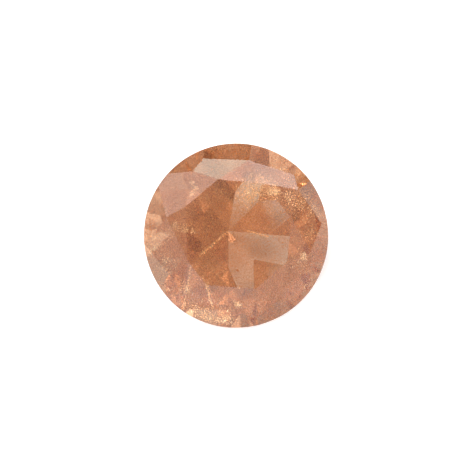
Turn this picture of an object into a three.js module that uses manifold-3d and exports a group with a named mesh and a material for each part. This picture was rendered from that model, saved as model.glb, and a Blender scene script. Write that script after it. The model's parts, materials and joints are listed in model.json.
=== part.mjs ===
// A loose sunstone cut as a round brilliant, 8 mm across, lying on one of its lower facets.
// Millimetres, +Z up. The stone is cut in a frame of its own, with its table level and facing +Z,
// x to the right and y up as one looks straight down on the table, and it is laid down at the end.
import * as THREE from 'three';
import { mergeVertices } from 'three/addons/utils/BufferGeometryUtils.js';
import Module from 'manifold-3d';

const wasm = await Module();
wasm.setup();

// Main sizes, in millimetres
const GIRDLE_DIAMETER = 8.0;
const CROWN_HEIGHT = 1.16; // from the girdle's upper edge to the table
const GIRDLE_THICKNESS = 0.44; // at its thick places, between two cuts
const PAVILION_DEPTH = 3.42; // from the girdle's lower edge to the culet
const CULET_X = -0.33; // the lower point was cut a little off the middle
const CULET_Y = 0.2;
const GIRDLE_SIDES = 96;

// The stone was cut by hand, so no two facets of a kind are quite alike. Each list runs clockwise
// round the stone. Angles are in degrees, anticlockwise from x, and lengths in millimetres.
const TABLE_CORNERS = [
  { angle: 150.5, radius: 2.51 },
  { angle: 107.5, radius: 2.53 },
  { angle: 62.6, radius: 2.5 },
  { angle: 17.7, radius: 2.5 },
  { angle: -27.1, radius: 2.46 },
  { angle: -69.5, radius: 2.43 },
  { angle: -120.7, radius: 2.47 },
  { angle: -152, radius: 2.34 },
];

// Star facet n stands on the table's edge from corner n to corner n + 1. Its tip lies this deep.
const STAR_TIPS = [
  { angle: 123.7, radius: 3.34, depth: 0.43 },
  { angle: 80.3, radius: 3.3, depth: 0.48 },
  { angle: 36.3, radius: 3.34, depth: 0.45 },
  { angle: -12.4, radius: 3.3, depth: 0.44 },
  { angle: -53.5, radius: 3.35, depth: 0.48 },
  { angle: -101.5, radius: 3.26, depth: 0.43 },
  { angle: -135.5, radius: 3.31, depth: 0.43 },
  { angle: 165.2, radius: 3.09, depth: 0.33 },
];

// Outer tips of the bezel facets. The first is cut deep enough to open on the girdle.
const BEZEL_TIPS = [
  { angle: 143, radius: 4.38 },
  { angle: 113, radius: 3.61 },
  { angle: 46.2, radius: 3.63 },
  { angle: 8, radius: 3.74 },
  { angle: -36.3, radius: 3.98 },
  { angle: -75, radius: 3.63 },
  { angle: -126.6, radius: 3.95 },
  { angle: -174.5, radius: 3.97 },
];

// Edges between the pavilion's main facets, from the culet out to the tips of the lower girdle
// facets. Angles are taken about the culet, and each edge rises this far above it.
const PAVILION_EDGES = [
  { angle: 126.5, length: 1.7, rise: 1.47 },
  { angle: 80.2, length: 1.73, rise: 1.375 },
  { angle: 44.5, length: 1.85, rise: 1.44 },
  { angle: -5, length: 1.8, rise: 1.345 },
  { angle: -48.6, length: 1.65, rise: 1.19 },
  { angle: -90, length: 1.63, rise: 1.255 },
  { angle: -138.6, length: 1.45, rise: 1.21 },
  { angle: 178.2, length: 1.75, rise: 1.51 },
];
const RESTING_FACET = 5; // the main facet that the stone lies on

const COUNT = TABLE_CORNERS.length;
const RADIUS = GIRDLE_DIAMETER / 2;
const GIRDLE_TOP = -CROWN_HEIGHT;
const GIRDLE_FOOT = GIRDLE_TOP - GIRDLE_THICKNESS;
const CULET = new THREE.Vector3(CULET_X, CULET_Y, GIRDLE_FOOT - PAVILION_DEPTH);
const HEART = new THREE.Vector3(0, 0, GIRDLE_FOOT);
const TIP_SETBACK = 0.07; // from the tips of the pavilion's main facets to the girdle
const BLANK_SPARE = 0.5; // rough left below the culet for the facets to take off
const LAP = 4 * GIRDLE_DIAMETER; // side of the block that a flat cut takes away
const SNAP = 2e-3; // corners closer than this are one corner
const UP = new THREE.Vector3(0, 0, 1);

const next = (n) => (n + 1) % COUNT;
const before = (n) => (n + COUNT - 1) % COUNT;

function at(angle, radius, height) {
  const turn = THREE.MathUtils.degToRad(angle);
  return new THREE.Vector3(radius * Math.cos(turn), radius * Math.sin(turn), height);
}

// Moves corners that nearly touch to one place.
function snap(position) {
  const corner = new THREE.Vector3();
  const earlier = new THREE.Vector3();
  for (let i = 0; i < position.count; i += 1) {
    corner.fromBufferAttribute(position, i);
    for (let j = 0; j < i; j += 1) {
      earlier.fromBufferAttribute(position, j);
      if (corner.distanceTo(earlier) < SNAP) {
        position.setXYZ(i, ...earlier);
        break;
      }
    }
  }
}

// Joins a geometry's corners, drops the slivers that this closes up, and keeps its positions only.
function welded(geometry) {
  geometry.deleteAttribute('normal');
  geometry.deleteAttribute('uv');
  snap(geometry.attributes.position);
  const merged = mergeVertices(geometry);
  const corners = merged.index.array;
  const kept = [];
  for (let i = 0; i < corners.length; i += 3) {
    const [a, b, c] = corners.slice(i, i + 3);
    if (a !== b && b !== c && c !== a) kept.push(a, b, c);
  }
  merged.setIndex(kept);
  return merged;
}

function toSolid(geometry) {
  const merged = welded(geometry);
  const vertProperties = Float32Array.from(merged.attributes.position.array);
  const triVerts = Uint32Array.from(merged.index.array);
  return new wasm.Manifold(new wasm.Mesh({ numProp: 3, vertProperties, triVerts }));
}

function toGeometry(solid) {
  const mesh = solid.getMesh();
  const geometry = new THREE.BufferGeometry();
  geometry.setAttribute('position', new THREE.BufferAttribute(mesh.vertProperties, 3));
  geometry.setIndex(new THREE.BufferAttribute(mesh.triVerts, 1));
  return welded(geometry);
}

// The plane through three points, facing away from the heart of the stone
function facet(a, b, c) {
  const plane = new THREE.Plane().setFromCoplanarPoints(a, b, c);
  return plane.distanceToPoint(HEART) > 0 ? plane.negate() : plane;
}

function grind(stone, plane) {
  const block = new THREE.BoxGeometry(LAP, LAP, LAP).translate(0, 0, LAP / 2);
  block.applyQuaternion(new THREE.Quaternion().setFromUnitVectors(UP, plane.normal));
  block.translate(...plane.coplanarPoint(new THREE.Vector3()));
  return stone.subtract(toSolid(block));
}

function heightOn(plane, point) {
  const down = new THREE.Ray(point.clone().setZ(LAP), UP.clone().negate());
  return down.intersectPlane(plane, new THREE.Vector3());
}

// The level distance from the culet to the girdle in a given direction
function reach(angle) {
  const offset = CULET.clone().setZ(0);
  const lean = offset.dot(at(angle, 1, 0));
  return Math.sqrt(RADIUS ** 2 - offset.lengthSq() + lean ** 2) - lean;
}

// The point in a given direction from the culet that lies this far inside the girdle
const inGirdle = (angle, setback) => at(angle, reach(angle) - setback, 0).add(CULET);

// Crown: bezel facets from the table to the girdle, star facets on the table's edges, and a pair
// of upper girdle facets between each two bezel facets.
function crownFacets() {
  const corners = TABLE_CORNERS.map(({ angle, radius }) => at(angle, radius, 0));
  const stars = STAR_TIPS.map(({ angle, radius, depth }) => at(angle, radius, -depth));
  const splits = STAR_TIPS.map(({ angle }) => at(angle, RADIUS, GIRDLE_TOP));
  const planes = [];
  for (let n = 0; n < COUNT; n += 1) {
    const bezel = facet(corners[n], stars[before(n)], stars[n]);
    const tip = heightOn(bezel, at(BEZEL_TIPS[n].angle, BEZEL_TIPS[n].radius, 0));
    planes.push(bezel);
    planes.push(facet(corners[n], corners[next(n)], stars[n]));
    planes.push(facet(stars[before(n)], tip, splits[before(n)]));
    planes.push(facet(stars[n], tip, splits[n]));
  }
  return planes;
}

// Pavilion: main facets that meet at the culet and come out near the girdle's lower edge
function mainFacets() {
  const rims = PAVILION_EDGES.map(({ angle, length, rise }) => at(angle, length, rise).add(CULET));
  return rims.map((rim, n) => {
    const plane = facet(CULET, rims[before(n)], rim);
    const outward = THREE.MathUtils.radToDeg(Math.atan2(plane.normal.y, plane.normal.x));
    return { rim, plane, tip: heightOn(plane, inGirdle(outward, TIP_SETBACK)) };
  });
}

// A pair of lower girdle facets between each two main facets
function lowerGirdleFacets(mains) {
  return mains.flatMap(({ rim, tip }, n) => {
    const split = inGirdle(PAVILION_EDGES[n].angle, 0).setZ(GIRDLE_FOOT);
    return [facet(rim, tip, split), facet(rim, mains[next(n)].tip, split)];
  });
}

function cutStone(mains) {
  const depth = BLANK_SPARE - CULET.z;
  const blank = new THREE.CylinderGeometry(RADIUS, RADIUS, depth, GIRDLE_SIDES);
  blank.rotateX(Math.PI / 2).translate(0, 0, -depth / 2);
  const planes = [...crownFacets(), ...mains.map(({ plane }) => plane), ...lowerGirdleFacets(mains)];
  return toGeometry(planes.reduce(grind, toSolid(blank)));
}

// Turns the stone so that one main facet is underneath and the table leans towards -Y, and stands
// the middle of its box on the origin.
function layDown(stone, facetBelow) {
  const settle = new THREE.Quaternion().setFromUnitVectors(facetBelow.normal, UP.clone().negate());
  const lean = UP.clone().applyQuaternion(settle);
  const swing = -Math.PI / 2 - Math.atan2(lean.y, lean.x);
  stone.quaternion.setFromAxisAngle(UP, swing).multiply(settle);
  stone.updateMatrix();
  const box = new THREE.Box3().setFromObject(stone, true);
  const middle = box.getCenter(new THREE.Vector3());
  stone.position.set(-middle.x, -middle.y, -box.min.z);
}

const mains = mainFacets();
const sunstone = new THREE.Mesh(
  cutStone(mains),
  new THREE.MeshStandardMaterial({ color: '#c58d6c', roughness: 0.08, metalness: 0 }),
);
sunstone.name = 'sunstone';
layDown(sunstone, mains[RESTING_FACET].plane);

const part = new THREE.Group();
part.add(sunstone);

export default part;
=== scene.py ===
import json
import math

import bpy
import numpy as np
from mathutils import Matrix, Vector


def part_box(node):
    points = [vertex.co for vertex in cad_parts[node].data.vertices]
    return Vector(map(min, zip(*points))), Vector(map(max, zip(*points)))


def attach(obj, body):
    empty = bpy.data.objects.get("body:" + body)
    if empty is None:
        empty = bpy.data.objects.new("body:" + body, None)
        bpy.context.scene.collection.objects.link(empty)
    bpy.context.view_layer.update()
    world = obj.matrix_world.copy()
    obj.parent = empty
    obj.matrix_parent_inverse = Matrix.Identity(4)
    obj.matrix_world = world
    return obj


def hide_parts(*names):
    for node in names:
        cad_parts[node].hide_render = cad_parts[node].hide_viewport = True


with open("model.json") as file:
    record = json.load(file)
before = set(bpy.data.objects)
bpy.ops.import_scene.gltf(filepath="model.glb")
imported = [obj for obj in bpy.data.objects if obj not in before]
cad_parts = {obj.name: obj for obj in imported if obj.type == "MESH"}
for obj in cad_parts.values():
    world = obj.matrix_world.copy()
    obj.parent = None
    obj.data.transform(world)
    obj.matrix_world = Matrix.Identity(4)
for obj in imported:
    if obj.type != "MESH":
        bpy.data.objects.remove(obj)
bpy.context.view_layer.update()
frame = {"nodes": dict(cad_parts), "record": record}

# A loose round brilliant of sunstone: clear orange feldspar with copper and haematite platelets in it.
# It lies on one main facet of its pavilion, on a white light table. Lengths here are in millimetres
# unless a comment says otherwise, and MM turns them to metres.
MM = 0.001
SEED = 27

# The frame's own directions. The camera looks straight down on the table facet.
table_mount = next(mount for mount in frame["record"]["mounts"] if mount["name"] == "table")
TABLE_NORMAL = Vector(table_mount["axis"]).normalized()
TABLE_MIDDLE = Vector(table_mount["pos_m"])
CAMERA_ROLL = math.radians(15.8)  # the facet that the stone lies on is right of the picture's foot
LEVEL = Vector((1, 0, 0))
STEEP = TABLE_NORMAL.cross(LEVEL)
RIGHT = LEVEL * math.cos(CAMERA_ROLL) - STEEP * math.sin(CAMERA_ROLL)
UPWARD = TABLE_NORMAL.cross(RIGHT)

# The photograph's framing, in pixels from its upper left corner
PHOTO_SIDE = 472
STONE_WIDTH = 184.3  # across the girdle
STONE_MIDDLE = (236.0, 235.6)

# The stone
GIRDLE_DIAMETER = 8.0
GIRDLE_DEPTH = 1.4  # from the table to the middle of the girdle
EDGE_WEAR = 0.016  # facet edges are never quite sharp
WEAR_ANGLE = 5.0  # degrees between two facets, where wear shows
GIRDLE_LEAN = 0.08  # a face that leans less than this from the girdle's wall belongs to it

# Feldspar with copper in it has an index of 1.56 to 1.57. Its body takes out blue first, then green.
FELDSPAR_IOR = 1.57
BODY_COLOUR = "#e8af48"
BODY_DENSITY = 250.0  # per metre
POLISH_LINES = 0.12  # real ones are about 0.01 apart, too fine to show
POLISH_LENGTH = 1.5
FINGER_FILM = 1.1  # breadth of a smear
GRINDING_GRAIN = 0.06  # the girdle is ground with grit of about 0.03
DUST_PATCH = 0.8  # colour zones in the crystal
FLAKE_PATCH = 0.3
ACRYLIC_GRAIN = 0.5

# Platelets: how many, half width, and how many degrees they stray from their common lean
DUST_PIECES = 3
DUST_COUNT = 48000
DUST_SIZE = 0.0085
DUST_WOBBLE = 35.0
FLAKE_COUNT = 2500
FLAKE_SIZE = 0.012
FLAKE_WOBBLE = 25.0
LARGE_COUNT = 150
LARGE_SIZE = 0.025
GLITTER_SIZE = 0.012
GLITTER_WOBBLE = 9.0
SIZE_SPREAD = 0.3  # natural logarithm of the sizes
SQUARE_RISE = 0.08  # half thickness of a square crystal beside its half width
SIX_SIDED_RISE = 0.05
CLEARANCE = 1.3  # a platelet keeps this many half widths from the stone's surface
COMMON_LEAN = (12, 90)  # the crystals lie nearly level with the table, so they glint all together

# The camera and the floor
LENS = 200.0
SENSOR = 36.0
FLOOR_GAP = 0.02
FLOOR_SIZE = 3000.0

# Soft boxes round the stone, all at one distance: angle from the table's normal, angle round it from the
# photograph's right, degrees wide and high, and radiance.
BOX_DISTANCE = 250.0
SOFT_BOXES = {
    "back strip": (76.5, 80, 50, 14, 3.5),
    "back window": (77, 102, 10, 8, 1.1),
    "back upper box": (53, 84, 16, 12, 3.3),
    "low back box": (66, 100, 14, 6, 1.2),
    "left box": (75, 148, 18, 14, 2.5),
    "left upper box": (48, 130, 16, 12, 2.3),
    "right box": (64, 12, 22, 14, 2.2),
    "front box": (45, -120, 22, 12, 4.0),
    "front fill": (52, -115, 70, 36, 0.8),
    "low front box": (64, -117, 12, 8, 1.6),
    "overhead box": (33, 95, 8, 8, 9.0),
}

GREEN_BOX = "back window"  # daylight through glass
GREEN_LIGHT = "#9affbc"

# The studio's white walls, and patches of them that are darker or lighter than the rest: angle from the
# table's normal, angle round it, inner and outer reach in degrees, and brightness beside the walls. The
# first is the camera.
WALLS = 1.07
WALL_PATCHES = [
    (0, 0, 0.7, 1.6, 0.5),
    (6.5, -125, 2, 5, 0.2),
    (4, -75, 1.5, 3.8, 0.15),
    (7.2, 10, 2, 5, 0.65),
    (26.5, -33, 1.5, 4, 0.45),
    (20, -26, 1.5, 4, 0.4),
    (23, -104, 2, 5, 0.4),
    (62, 169, 5, 11, 0.65),
    (67, -140, 7, 15, 0.7),
    (17.5, -71, 2, 5.5, 1.9),
    (11, -72, 1, 3.5, 1.4),
    (9, -82, 1.5, 3.5, 1.2),
    (2.5, 20, 0.8, 2.4, 1.35),
    (6, 94, 2, 4.5, 2.3),
    (27, 0, 2, 5, 1.3),
    (25.5, -45, 2, 5, 1.5),
    (20, 155, 3, 8, 2.7),
    (60, 99, 3, 7, 1.8),
    (65, -4, 3, 8, 1.4),
    (82, 15, 6, 14, 0.85),
    (75, -166, 1.2, 3, 1.7),
    (63, 115, 7, 15, 0.4),
    (66, -152, 7, 15, 0.35),
    (31.5, 9, 4, 9, 0.7),
    (14, -148, 7, 15, 1.36),
    (34.5, 136, 7, 15, 1.8),
    (51, -50, 1.2, 3, 1.9),
    (69, 90, 4, 9, 0.4),
    (11.2, -40, 0.7, 1.8, 0.63),
    (19.5, -29, 1.2, 3, 2.4),
    (45, -90, 2, 5, 2.0),
    (87, 21, 7, 15, 0.7),
    (78, 142, 7, 15, 0.4),
    (69, 55, 4, 9, 0.3),
    (57, -119, 7, 15, 1.6),
    (48, -8, 7, 15, 1.4),
    (48, -146, 2, 5, 1.9),
    (7, 23, 0.4, 1, 1.8),
    (31.5, -86, 7, 15, 1.25),
    (27, 7, 1.2, 3, 0.8),
    (16.5, 34, 0.7, 1.8, 0.65),
    (0.7, -60, 0.4, 1, 1.5),
    (9.1, -124, 1.2, 3, 1.9),
    (100, 40, 13, 24, 0.2),
    (100, 85, 13, 24, 0.2),
    (100, 130, 13, 24, 0.2),
]

# The light table's glow, and round places on it of painted light and painted shade: brighter places in front
# of the stone cover its shadow and light its lower facets, dimmer places under the stone stand in for its
# shade. Columns: x, y, inner and outer reach, and brightness beside the rest.
TABLE_GLOW = 0.5
PAINTED_LIGHT_AND_SHADE_PLACES = [
    # brighter places: painted light that covers the stone's shadow and lights its lower facets
    (-3.0, -7.0, 2.0, 4.5, 2.0),
    (7.0, -8.0, 1.0, 3.0, 2.3),
    (-13.0, -20.0, 3.0, 7.0, 2.5),
    (-10.0, -2.0, 1.0, 3.0, 2.2),
    # dimmer places under the stone: painted shade
    (1.0, 1.2, 0.4, 1.0, 0.5),
    (2.8, 0.1, 0.9, 2.6, 0.2),
    (1.0, 1.8, 0.6, 1.4, 0.12),
    (-0.7, 0.8, 0.4, 1.0, 0.5),
    (0.0, 2.9, 0.8, 1.7, 0.3),
    (0.2, -1.0, 0.4, 1.1, 0.6),
]

# Zones near the girdle where copper flakes crowd and the stone turns deep golden orange: the pixel that
# shows the middle of each, its depth along the line of sight, its reach, and how many flakes.
COPPER_ZONES = [
    (216, 154, 0.5, 0.20, 300),
    (236, 152, 0.5, 0.20, 360),
    (257, 153, 0.5, 0.22, 560),
    (285, 162, 0.5, 0.25, 420),
    (305, 179, 0.5, 0.25, 620),
    (317, 200, 0.5, 0.26, 620),
    (323, 226, 0.5, 0.26, 620),
    (322, 250, 0.5, 0.26, 900),
    (314, 270, 0.5, 0.22, 300),
    (302, 214, 0.7, 0.35, 1200),
    (290, 303, 0.5, 0.22, 520),
    (271, 314, 0.5, 0.28, 1200),
    (250, 320, 0.5, 0.22, 420),
    (151, 226, 0.5, 0.18, 700),
]

# Clouds of golden glitter: the pixel that shows it, its depth along the line of sight, its reach, how many
# platelets, and the soft box that they catch.
GLITTER = [
    (250, 193, 0.9, 0.30, 640, "back strip"),
    (262, 190, 1.0, 0.25, 420, "back strip"),
    (275, 193, 0.8, 0.12, 640, "back strip"),
    (288, 198, 0.8, 0.16, 160, "back strip"),
    (300, 205, 0.8, 0.33, 600, "back strip"),
    (312, 212, 0.8, 0.25, 380, "back strip"),
    (285, 172, 0.8, 0.30, 120, "back strip"),
    (310, 235, 0.8, 0.22, 160, "back strip"),
    (157, 236, 0.5, 0.12, 80, "left box"),
    (155, 246, 0.6, 0.14, 160, "left box"),
    (150, 254, 0.6, 0.10, 80, "left box"),
    (160, 268, 0.8, 0.22, 60, "left box"),
    (166, 262, 0.5, 0.22, 240, "left box"),
    (196, 276, 0.8, 0.22, 50, "left box"),
    (188, 290, 0.8, 0.12, 120, "left box"),
    (185, 305, 0.6, 0.10, 80, "left box"),
    (168, 290, 0.6, 0.25, 160, "left box"),
    (185, 229, 0.7, 0.12, 90, "left box"),
    (177, 226, 0.7, 0.12, 70, "left box"),
    (193, 231, 0.8, 0.06, 30, "left box"),
    (170, 231, 0.6, 0.12, 60, "left box"),
    (162, 234, 0.5, 0.10, 50, "left box"),
    (205, 317, 0.6, 0.22, 560, "front box"),
    (225, 319, 0.6, 0.20, 500, "front box"),
    (238, 304, 0.7, 0.08, 120, "front box"),
    (194, 310, 0.6, 0.16, 90, "front box"),
    (210, 298, 0.5, 0.25, 40, "front box"),
    (192, 182, 0.5, 0.05, 40, "left upper box"),
    (196, 188, 0.5, 0.08, 60, "left upper box"),
    (192, 194, 0.5, 0.06, 50, "left upper box"),
    (303, 257, 0.5, 0.08, 90, "right box"),
    (299, 262, 0.5, 0.25, 110, "right box"),
    (308, 285, 0.4, 0.12, 50, "right box"),
]

# Thin straight streaks of glitter: their ends in the photograph, their depth, how many platelets, and the
# soft box that they catch.
NEEDLES = [
    ((227, 232), (200, 256), 1.2, 308, "overhead box"),
    ((247, 231), (268, 236.5), 1.2, 168, "overhead box"),
    ((191, 267), (184, 308), 0.5, 168, "left box"),
    ((207, 285), (213, 309), 0.5, 112, "front box"),
    ((173, 237), (148, 254), 0.4, 140, "left box"),
]
NEEDLE_THICKNESS = 0.025
NEEDLE_STEPS = 14


def linear(hex_colour):
    """The linear colour of an sRGB hex value, with full alpha."""
    parts = [int(hex_colour[i:i + 2], 16) / 255 for i in (1, 3, 5)]
    curve = [c / 12.92 if c <= 0.04045 else ((c + 0.055) / 1.055) ** 2.4 for c in parts]
    return (*curve, 1.0)


def node(tree, kind, settings=None, inputs=None, links=None):
    """Adds one node with its settings, its sockets' values, and the sources linked to its sockets."""
    made = tree.nodes.new(kind)
    for name, value in (settings or {}).items():
        setattr(made, name, value)
    for name, value in (inputs or {}).items():
        made.inputs[name].default_value = value
    for name, source in (links or {}).items():
        tree.links.new(source, made.inputs[name])
    return made


def new_material(name):
    """An empty node material and its tree."""
    material = bpy.data.materials.new(name)
    material.use_nodes = True
    material.node_tree.nodes.clear()
    return material, material.node_tree


def facing(polar, azimuth):
    """The direction this far from the table's normal, and this far round it from the photograph's right."""
    tilt, turn = math.radians(polar), math.radians(azimuth)
    outward = RIGHT * math.cos(turn) + UPWARD * math.sin(turn)
    return TABLE_NORMAL * math.cos(tilt) + outward * math.sin(tilt)


def towards_box(name):
    """The direction of a soft box."""
    return facing(*SOFT_BOXES[name][:2])


def at_photo(x, y, depth):
    """The point that shows at a pixel of the photograph, this deep below the table's plane."""
    scale = GIRDLE_DIAMETER * MM / STONE_WIDTH
    across = RIGHT * (x - STONE_MIDDLE[0]) * scale
    upward = UPWARD * (STONE_MIDDLE[1] - y) * scale
    return TABLE_MIDDLE + across + upward - TABLE_NORMAL * depth * MM


# Finishes

def mottling(tree, spacing, low, high):
    """Soft patches this far apart in the three directions, with values from low to high."""
    place = node(tree, "ShaderNodeTexCoord")
    scale = node(tree, "ShaderNodeMapping", inputs={"Scale": [1 / (step * MM) for step in spacing]},
        links={"Vector": place.outputs["Object"]})
    patches = node(tree, "ShaderNodeTexNoise", inputs={"Scale": 1.0}, links={"Vector": scale.outputs[0]})
    return node(tree, "ShaderNodeMapRange", inputs={
        "From Min": 0.35, "From Max": 0.65, "To Min": low, "To Max": high,
    }, links={"Value": patches.outputs["Fac"]}).outputs[0]


def feldspar(name, surface):
    """Clear orange feldspar: its surface as given, and a body that takes blue and green out of the light."""
    material, tree = new_material(name)
    skin = node(tree, "ShaderNodeBsdfPrincipled", inputs={
        "Base Color": (1, 1, 1, 1), "Transmission Weight": 1.0, "IOR": FELDSPAR_IOR,
    }, links=surface(tree))
    body = node(tree, "ShaderNodeVolumeAbsorption", inputs={
        "Color": linear(BODY_COLOUR), "Density": BODY_DENSITY,
    })
    node(tree, "ShaderNodeOutputMaterial", links={"Surface": skin.outputs[0], "Volume": body.outputs[0]})
    return material


def polished(tree):
    """Facets polished on a metal lap: glassy, with very faint parallel lines and a trace of finger film."""
    lines = node(tree, "ShaderNodeBump", inputs={"Strength": 0.04, "Distance": 0.0003 * MM},
        links={"Height": mottling(tree, (POLISH_LINES, POLISH_LENGTH, POLISH_LINES), 0, 1)})
    film = (FINGER_FILM, FINGER_FILM, FINGER_FILM)
    return {"Normal": lines.outputs[0], "Roughness": mottling(tree, film, 0.0, 0.03)}


def ground(tree):
    """A girdle ground round and left unpolished: a frosted wall with a fine grain."""
    grit = (GRINDING_GRAIN, GRINDING_GRAIN, GRINDING_GRAIN)
    pits = node(tree, "ShaderNodeBump", inputs={"Strength": 0.3, "Distance": 0.0012 * MM},
        links={"Height": mottling(tree, grit, 0, 1)})
    return {"Normal": pits.outputs[0], "Roughness": mottling(tree, grit, 0.3, 0.42)}


def platelet_finish(name, deep, pale, patch, roughness):
    """Flat metallic crystals whose colour goes from deep to pale from patch to patch of the stone."""
    material, tree = new_material(name)
    tone = mottling(tree, (patch, patch, patch), 0, 1)
    colour = node(tree, "ShaderNodeMix", {"data_type": "RGBA"},
        {6: linear(deep), 7: linear(pale)}, {0: tone})
    fine = (patch / 3, patch / 3, patch / 3)
    skin = node(tree, "ShaderNodeBsdfPrincipled", inputs={"Metallic": 1.0}, links={
        "Base Color": colour.outputs[2],
        "Roughness": mottling(tree, fine, roughness * 0.8, roughness * 1.2),
    })
    node(tree, "ShaderNodeOutputMaterial", links={"Surface": skin.outputs[0]})
    return material


def with_painted_place(tree, level, source, x, y, inner, outer, brightness):
    """The light table's glow with one round place of another brightness: painted light where brighter,
    painted shade where dimmer.
    """
    away = node(tree, "ShaderNodeVectorMath", {"operation": "DISTANCE"},
        {1: (x * MM, y * MM, 0)}, {0: source})
    share = node(tree, "ShaderNodeMapRange", {"interpolation_type": "SMOOTHSTEP"}, {
        "From Min": inner * MM, "From Max": outer * MM, "To Min": brightness, "To Max": 1.0,
    }, {"Value": away.outputs["Value"]})
    return node(tree, "ShaderNodeMath", {"operation": "MULTIPLY"},
        links={0: level, 1: share.outputs[0]}).outputs[0]


def opal_acrylic():
    """Matt white acrylic lit from below: an evenly glowing pale floor, with brighter places of painted light
    that hide the stone's shadow and dimmer places of painted shade under the stone.
    """
    material, tree = new_material("glowing opal acrylic with painted light and shade")
    source = node(tree, "ShaderNodeTexCoord").outputs["Object"]
    level = node(tree, "ShaderNodeValue").outputs[0]
    level.default_value = TABLE_GLOW
    # each place lays painted light or painted shade on the even glow
    for place in PAINTED_LIGHT_AND_SHADE_PLACES:
        level = with_painted_place(tree, level, source, *place)
    grain = (ACRYLIC_GRAIN, ACRYLIC_GRAIN, ACRYLIC_GRAIN)
    skin = node(tree, "ShaderNodeBsdfPrincipled", inputs={
        "Base Color": linear("#f4f4f4"), "Emission Color": (1, 1, 1, 1),
    }, links={"Emission Strength": level, "Roughness": mottling(tree, grain, 0.55, 0.65)})
    node(tree, "ShaderNodeOutputMaterial", links={"Surface": skin.outputs[0]})
    return material


# The stone

def cut_stone(solid):
    """The stone with the fine worn edges that real facets have."""
    bpy.ops.object.select_all(action="DESELECT")
    stone = solid.copy()
    stone.data = solid.data.copy()
    stone.name = "faceted_stone"
    bpy.context.collection.objects.link(stone)
    stone.parent = None
    stone.select_set(True)
    bpy.context.view_layer.objects.active = stone
    bpy.ops.object.mode_set(mode="EDIT")
    bpy.ops.mesh.select_all(action="SELECT")
    bpy.ops.mesh.remove_doubles(threshold=0.001 * MM)
    bpy.ops.mesh.dissolve_limited(angle_limit=math.radians(0.3))
    bpy.ops.object.mode_set(mode="OBJECT")
    wear = stone.modifiers.new("worn edges", "BEVEL")
    wear.width = EDGE_WEAR * MM
    wear.segments = 2
    wear.limit_method = "ANGLE"
    wear.angle_limit = math.radians(WEAR_ANGLE)
    bpy.ops.object.modifier_apply(modifier=wear.name)
    bpy.ops.object.shade_flat()
    return stone


def dress_stone(stone):
    """Polished facets, and a ground girdle between the crown and the pavilion."""
    stone.data.materials.clear()
    # Glassy facets: clear orange windows, sharp pale reflections, and the glitter shining through.
    stone.data.materials.append(feldspar("polished sunstone feldspar", polished))
    # The frosted girdle: a thin soft line round the stone, without reflections.
    stone.data.materials.append(feldspar("ground sunstone girdle", ground))
    for face in stone.data.polygons:
        if abs(face.normal.dot(TABLE_NORMAL)) < GIRDLE_LEAN:
            face.material_index = 1


# Platelets in the stone

def planes_of(solid):
    """Outward normals and offsets of the solid's facets."""
    mesh = solid.data
    normals = np.array([face.normal for face in mesh.polygons])
    points = np.array([mesh.vertices[face.vertices[0]].co for face in mesh.polygons])
    return normals, (normals * points).sum(axis=1)


def inside(planes, places, sizes):
    """Which places lie deeper in the stone than their sizes."""
    normals, offsets = planes
    return ((places @ normals.T - offsets) < -CLEARANCE * sizes[:, None]).all(axis=1)


def varied(random, size, count):
    """Sizes spread round this one, in metres."""
    return size * MM * np.exp(random.normal(0, SIZE_SPREAD, count))


def scattered(planes, random, count, size):
    """Places and sizes of platelets all through the stone."""
    low, high = (np.array(corner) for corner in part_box("sunstone"))
    tries = count * 3  # enough, since the stone fills more than a third of its box
    sizes = varied(random, size, tries)
    places = random.uniform(low, high, (tries, 3))
    kept = inside(planes, places, sizes)
    return places[kept][:count], sizes[kept][:count]


def bent(way, normal, ratio):
    """A direction after a surface with this normal. ratio is the index before it over the one after it."""
    cosine = -way.dot(normal)
    return way * ratio + normal * (ratio * cosine - math.sqrt(1 - ratio ** 2 * (1 - cosine ** 2)))


def seen_through(planes, x, y):
    """Where a pixel's line of sight meets the stone, the facet's normal there, and its way on inside."""
    normals, offsets = planes
    start = np.array(at_photo(x, y, 0))
    towards = normals @ np.array(TABLE_NORMAL)
    reach = np.where(towards > 0.01, (offsets - normals @ start) / np.maximum(towards, 0.01), np.inf)
    facet = int(reach.argmin())
    normal = Vector(normals[facet])
    place = Vector(start) + TABLE_NORMAL * float(reach[facet])
    return place, normal, bent(-TABLE_NORMAL, normal, 1 / FELDSPAR_IOR)


def crowded(planes, random, x, y, depth, reach, count):
    """Places round the point that lies this deep along the line of sight of a pixel."""
    place, normal, sight = seen_through(planes, x, y)
    return np.array(place + sight * depth * MM) + random.normal(0, reach * MM, (count, 3))


def zoned(planes, random):
    """Places and sizes of the copper flakes in their zones."""
    places = np.concatenate([crowded(planes, random, *zone) for zone in COPPER_ZONES])
    sizes = varied(random, FLAKE_SIZE, len(places))
    kept = inside(planes, places, sizes)
    return places[kept], sizes[kept]


def cloud(planes, random, x, y, depth, reach, count, box):
    """Places of the platelets in one cloud, and the lean that sends a soft box's light to the camera."""
    place, normal, sight = seen_through(planes, x, y)
    lit = bent(-towards_box(box), normal, 1 / FELDSPAR_IOR)
    places = crowded(planes, random, x, y, depth, reach, count)
    return places, np.tile(-(sight + lit).normalized(), (count, 1))


def needle(planes, random, start, end, depth, count, box):
    """Places and leans of platelets in a thin straight line across the picture."""
    stops = np.linspace(start, end, NEEDLE_STEPS)
    share = count // NEEDLE_STEPS
    parts = [cloud(planes, random, x, y, depth, NEEDLE_THICKNESS, share, box) for x, y in stops]
    return tuple(np.concatenate(values) for values in zip(*parts))


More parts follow.
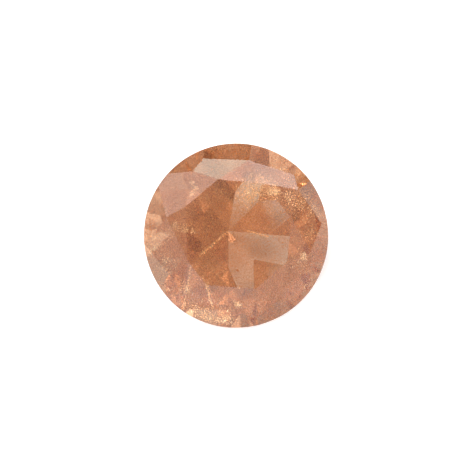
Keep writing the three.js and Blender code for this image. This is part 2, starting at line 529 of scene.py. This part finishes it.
def glittering(planes, random):
    """Places, sizes and leans of all the golden glitter."""
    parts = [cloud(planes, random, *row) for row in GLITTER]
    parts += [needle(planes, random, *row) for row in NEEDLES]
    places, leans = (np.concatenate(values) for values in zip(*parts))
    sizes = varied(random, GLITTER_SIZE, len(places))
    kept = inside(planes, places, sizes)
    return places[kept], sizes[kept], leans[kept]


def turned(random, count, lean, wobble):
    """Three square directions for each platelet. The first, the way it faces, is wobble degrees off lean."""
    face = np.array(lean) + random.normal(0, math.tan(math.radians(wobble)), (count, 3))
    face /= np.linalg.norm(face, axis=1, keepdims=True)
    side = np.cross(face, random.normal(0, 1, (count, 3)))
    side /= np.linalg.norm(side, axis=1, keepdims=True)
    return face, side, np.cross(face, side)


def from_faces(name, corners, pattern, corner_count):
    """A new object of many like crystals. pattern is one crystal's faces, by its own corners' numbers."""
    starts = np.arange(len(corners) // corner_count)[:, None, None] * corner_count
    mesh = bpy.data.meshes.new(name)
    mesh.from_pydata(corners.tolist(), [], (starts + pattern[None, :, :]).reshape(-1, 3).tolist())
    made = bpy.data.objects.new(name, mesh)
    bpy.context.collection.objects.link(made)
    return made


def square_platelets(name, random, places, sizes, lean, wobble):
    """Fine square crystals in one mesh, each with the four faces of a flattened tetrahedron."""
    face, side, other = turned(random, len(places), lean, wobble)
    reach = sizes[:, None]
    rise = face * reach * SQUARE_RISE
    corners = np.stack([
        places + side * reach + rise, places - side * reach + rise,
        places + other * reach - rise, places - other * reach - rise,
    ], axis=1).reshape(-1, 3)
    pattern = np.array([(0, 2, 1), (0, 1, 3), (0, 3, 2), (1, 2, 3)])
    return from_faces(name, corners, pattern, 4)


def six_sided_platelets(name, random, places, sizes, lean, wobble):
    """Larger six-sided crystals in one mesh, each a flat pyramid and its mirror image."""
    sides = 6
    face, side, other = turned(random, len(places), lean, wobble)
    turns = (np.arange(sides) * 2 * math.pi / sides)[None, :, None]
    ring = side[:, None, :] * np.cos(turns) + other[:, None, :] * np.sin(turns)
    ring = places[:, None, :] + ring * sizes[:, None, None]
    rise = face * sizes[:, None] * SIX_SIDED_RISE
    tips = np.stack([places + rise, places - rise], axis=1)
    corners = np.concatenate([ring, tips], axis=1).reshape(-1, 3)
    step = np.arange(sides)
    after = (step + 1) % sides
    upper = np.stack([step, after, np.full(sides, sides)], axis=1)
    lower = np.stack([after, step, np.full(sides, sides + 1)], axis=1)
    return from_faces(name, corners, np.concatenate([upper, lower]), sides + 2)


def fill_with_platelets(planes):
    """Every grade of platelet in the stone, with its finish."""
    random = np.random.default_rng(SEED)
    lean = facing(*COMMON_LEAN)
    # Haematite and copper dust too fine to see singly: it gives the stone its soft coppery haze.
    dust = platelet_finish("haematite and copper dust", "#cb9660", "#e4bf90", DUST_PATCH, 0.5)
    # Native copper flakes: small coppery glints.
    copper = platelet_finish("native copper flakes", "#d99a66", "#f4cc98", FLAKE_PATCH, 0.5)
    # Crowded copper flakes: the stone turns deep golden orange there.
    rich = platelet_finish("crowded copper flakes", "#d4803c", "#f2aa62", FLAKE_PATCH, 0.5)
    # Bright clean copper faces: golden glitter where they catch a light.
    gold = platelet_finish("bright copper glitter", "#f0c48a", "#fae0b8", FLAKE_PATCH, 0.16)
    made = []
    for number in range(DUST_PIECES):
        places, sizes = scattered(planes, random, DUST_COUNT, DUST_SIZE)
        name = "fine_platelets_%d" % (number + 1)
        made.append((square_platelets(name, random, places, sizes, lean, DUST_WOBBLE), dust))
    places, sizes = scattered(planes, random, FLAKE_COUNT, FLAKE_SIZE)
    made.append((square_platelets("platelets", random, places, sizes, lean, FLAKE_WOBBLE), copper))
    places, sizes = zoned(planes, random)
    made.append((square_platelets("copper_zones", random, places, sizes, lean, FLAKE_WOBBLE), rich))
    places, sizes = scattered(planes, random, LARGE_COUNT, LARGE_SIZE)
    made.append((six_sided_platelets("large_platelets", random, places, sizes, lean, FLAKE_WOBBLE), copper))
    places, sizes, leans = glittering(planes, random)
    made.append((six_sided_platelets("glitter_clouds", random, places, sizes, leans, GLITTER_WOBBLE), gold))
    for platelets, finish in made:
        platelets.data.materials.append(finish)
        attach(platelets, "root")


# The studio

def set_camera():
    """A long lens square to the table, at the photograph's framing."""
    width = GIRDLE_DIAMETER * MM * PHOTO_SIDE / STONE_WIDTH
    distance = width * LENS / SENSOR
    bpy.ops.object.camera_add()
    camera = bpy.context.object
    camera.data.lens = LENS
    camera.data.sensor_width = SENSOR
    camera.data.clip_start = 1 * MM
    camera.data.clip_end = 1.0
    aim = at_photo(PHOTO_SIDE / 2, PHOTO_SIDE / 2, GIRDLE_DEPTH)
    turn = Matrix((RIGHT, UPWARD, TABLE_NORMAL)).transposed()
    camera.matrix_world = Matrix.Translation(aim + TABLE_NORMAL * distance) @ turn.to_4x4()
    bpy.context.scene.camera = camera


def set_floor():
    """The light table, a hair below the stone."""
    bpy.ops.mesh.primitive_plane_add(size=FLOOR_SIZE * MM, location=(0, 0, -FLOOR_GAP * MM))
    floor = bpy.context.object
    floor.name = "floor"
    floor.data.materials.append(opal_acrylic())


def set_soft_boxes():
    """The soft boxes, each facing the stone."""
    for name, (polar, azimuth, wide, high, radiance) in SOFT_BOXES.items():
        way = facing(polar, azimuth)
        falling = facing(polar + 90, azimuth)
        turn = Matrix((falling.cross(way), falling, way)).transposed().to_4x4()
        bpy.ops.object.light_add(type="AREA")
        light = bpy.context.object
        light.name = name
        light.matrix_world = Matrix.Translation(TABLE_MIDDLE + way * BOX_DISTANCE * MM) @ turn
        light.data.shape = "RECTANGLE"
        light.data.size = 2 * BOX_DISTANCE * MM * math.tan(math.radians(wide / 2))
        light.data.size_y = 2 * BOX_DISTANCE * MM * math.tan(math.radians(high / 2))
        light.data.energy = radiance * light.data.size * light.data.size_y * math.pi
        if name == GREEN_BOX:
            light.data.color = linear(GREEN_LIGHT)[:3]


def patched(tree, level, way, polar, azimuth, inner, outer, brightness):
    """The walls' light with one round patch of another brightness."""
    lined_up = node(tree, "ShaderNodeVectorMath", {"operation": "DOT_PRODUCT"},
        {1: tuple(facing(polar, azimuth))}, {0: way})
    share = node(tree, "ShaderNodeMapRange", {"interpolation_type": "SMOOTHSTEP"}, {
        "From Min": math.cos(math.radians(outer)), "From Max": math.cos(math.radians(inner)),
        "To Min": 1.0, "To Max": brightness,
    }, {"Value": lined_up.outputs["Value"]})
    return node(tree, "ShaderNodeMath", {"operation": "MULTIPLY"},
        links={0: level, 1: share.outputs[0]}).outputs[0]


def set_walls():
    """A white studio all round, with its darker and lighter patches."""
    world = bpy.data.worlds.new("studio")
    bpy.context.scene.world = world
    world.use_nodes = True
    tree = world.node_tree
    tree.nodes.clear()
    way = node(tree, "ShaderNodeTexCoord").outputs["Generated"]
    level = node(tree, "ShaderNodeValue").outputs[0]
    level.default_value = WALLS
    for patch in WALL_PATCHES:
        level = patched(tree, level, way, *patch)
    glow = node(tree, "ShaderNodeBackground", inputs={"Color": (1, 1, 1, 1)}, links={"Strength": level})
    node(tree, "ShaderNodeOutputWorld", links={"Surface": glow.outputs[0]})


def set_light_paths():
    """Light turns many times inside a faceted stone."""
    scene = bpy.context.scene
    scene.view_settings.view_transform = "Standard"
    scene.cycles.max_bounces = 24
    scene.cycles.transmission_bounces = 24
    scene.cycles.glossy_bounces = 16


def main():
    """Dresses the stone, fills it, and sets the studio round it."""
    solid = frame["nodes"]["sunstone"]
    planes = planes_of(solid)
    stone = cut_stone(solid)
    dress_stone(stone)
    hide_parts("sunstone")
    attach(stone, "root")
    fill_with_platelets(planes)
    set_camera()
    set_floor()
    set_soft_boxes()
    set_walls()
    set_light_paths()


main()
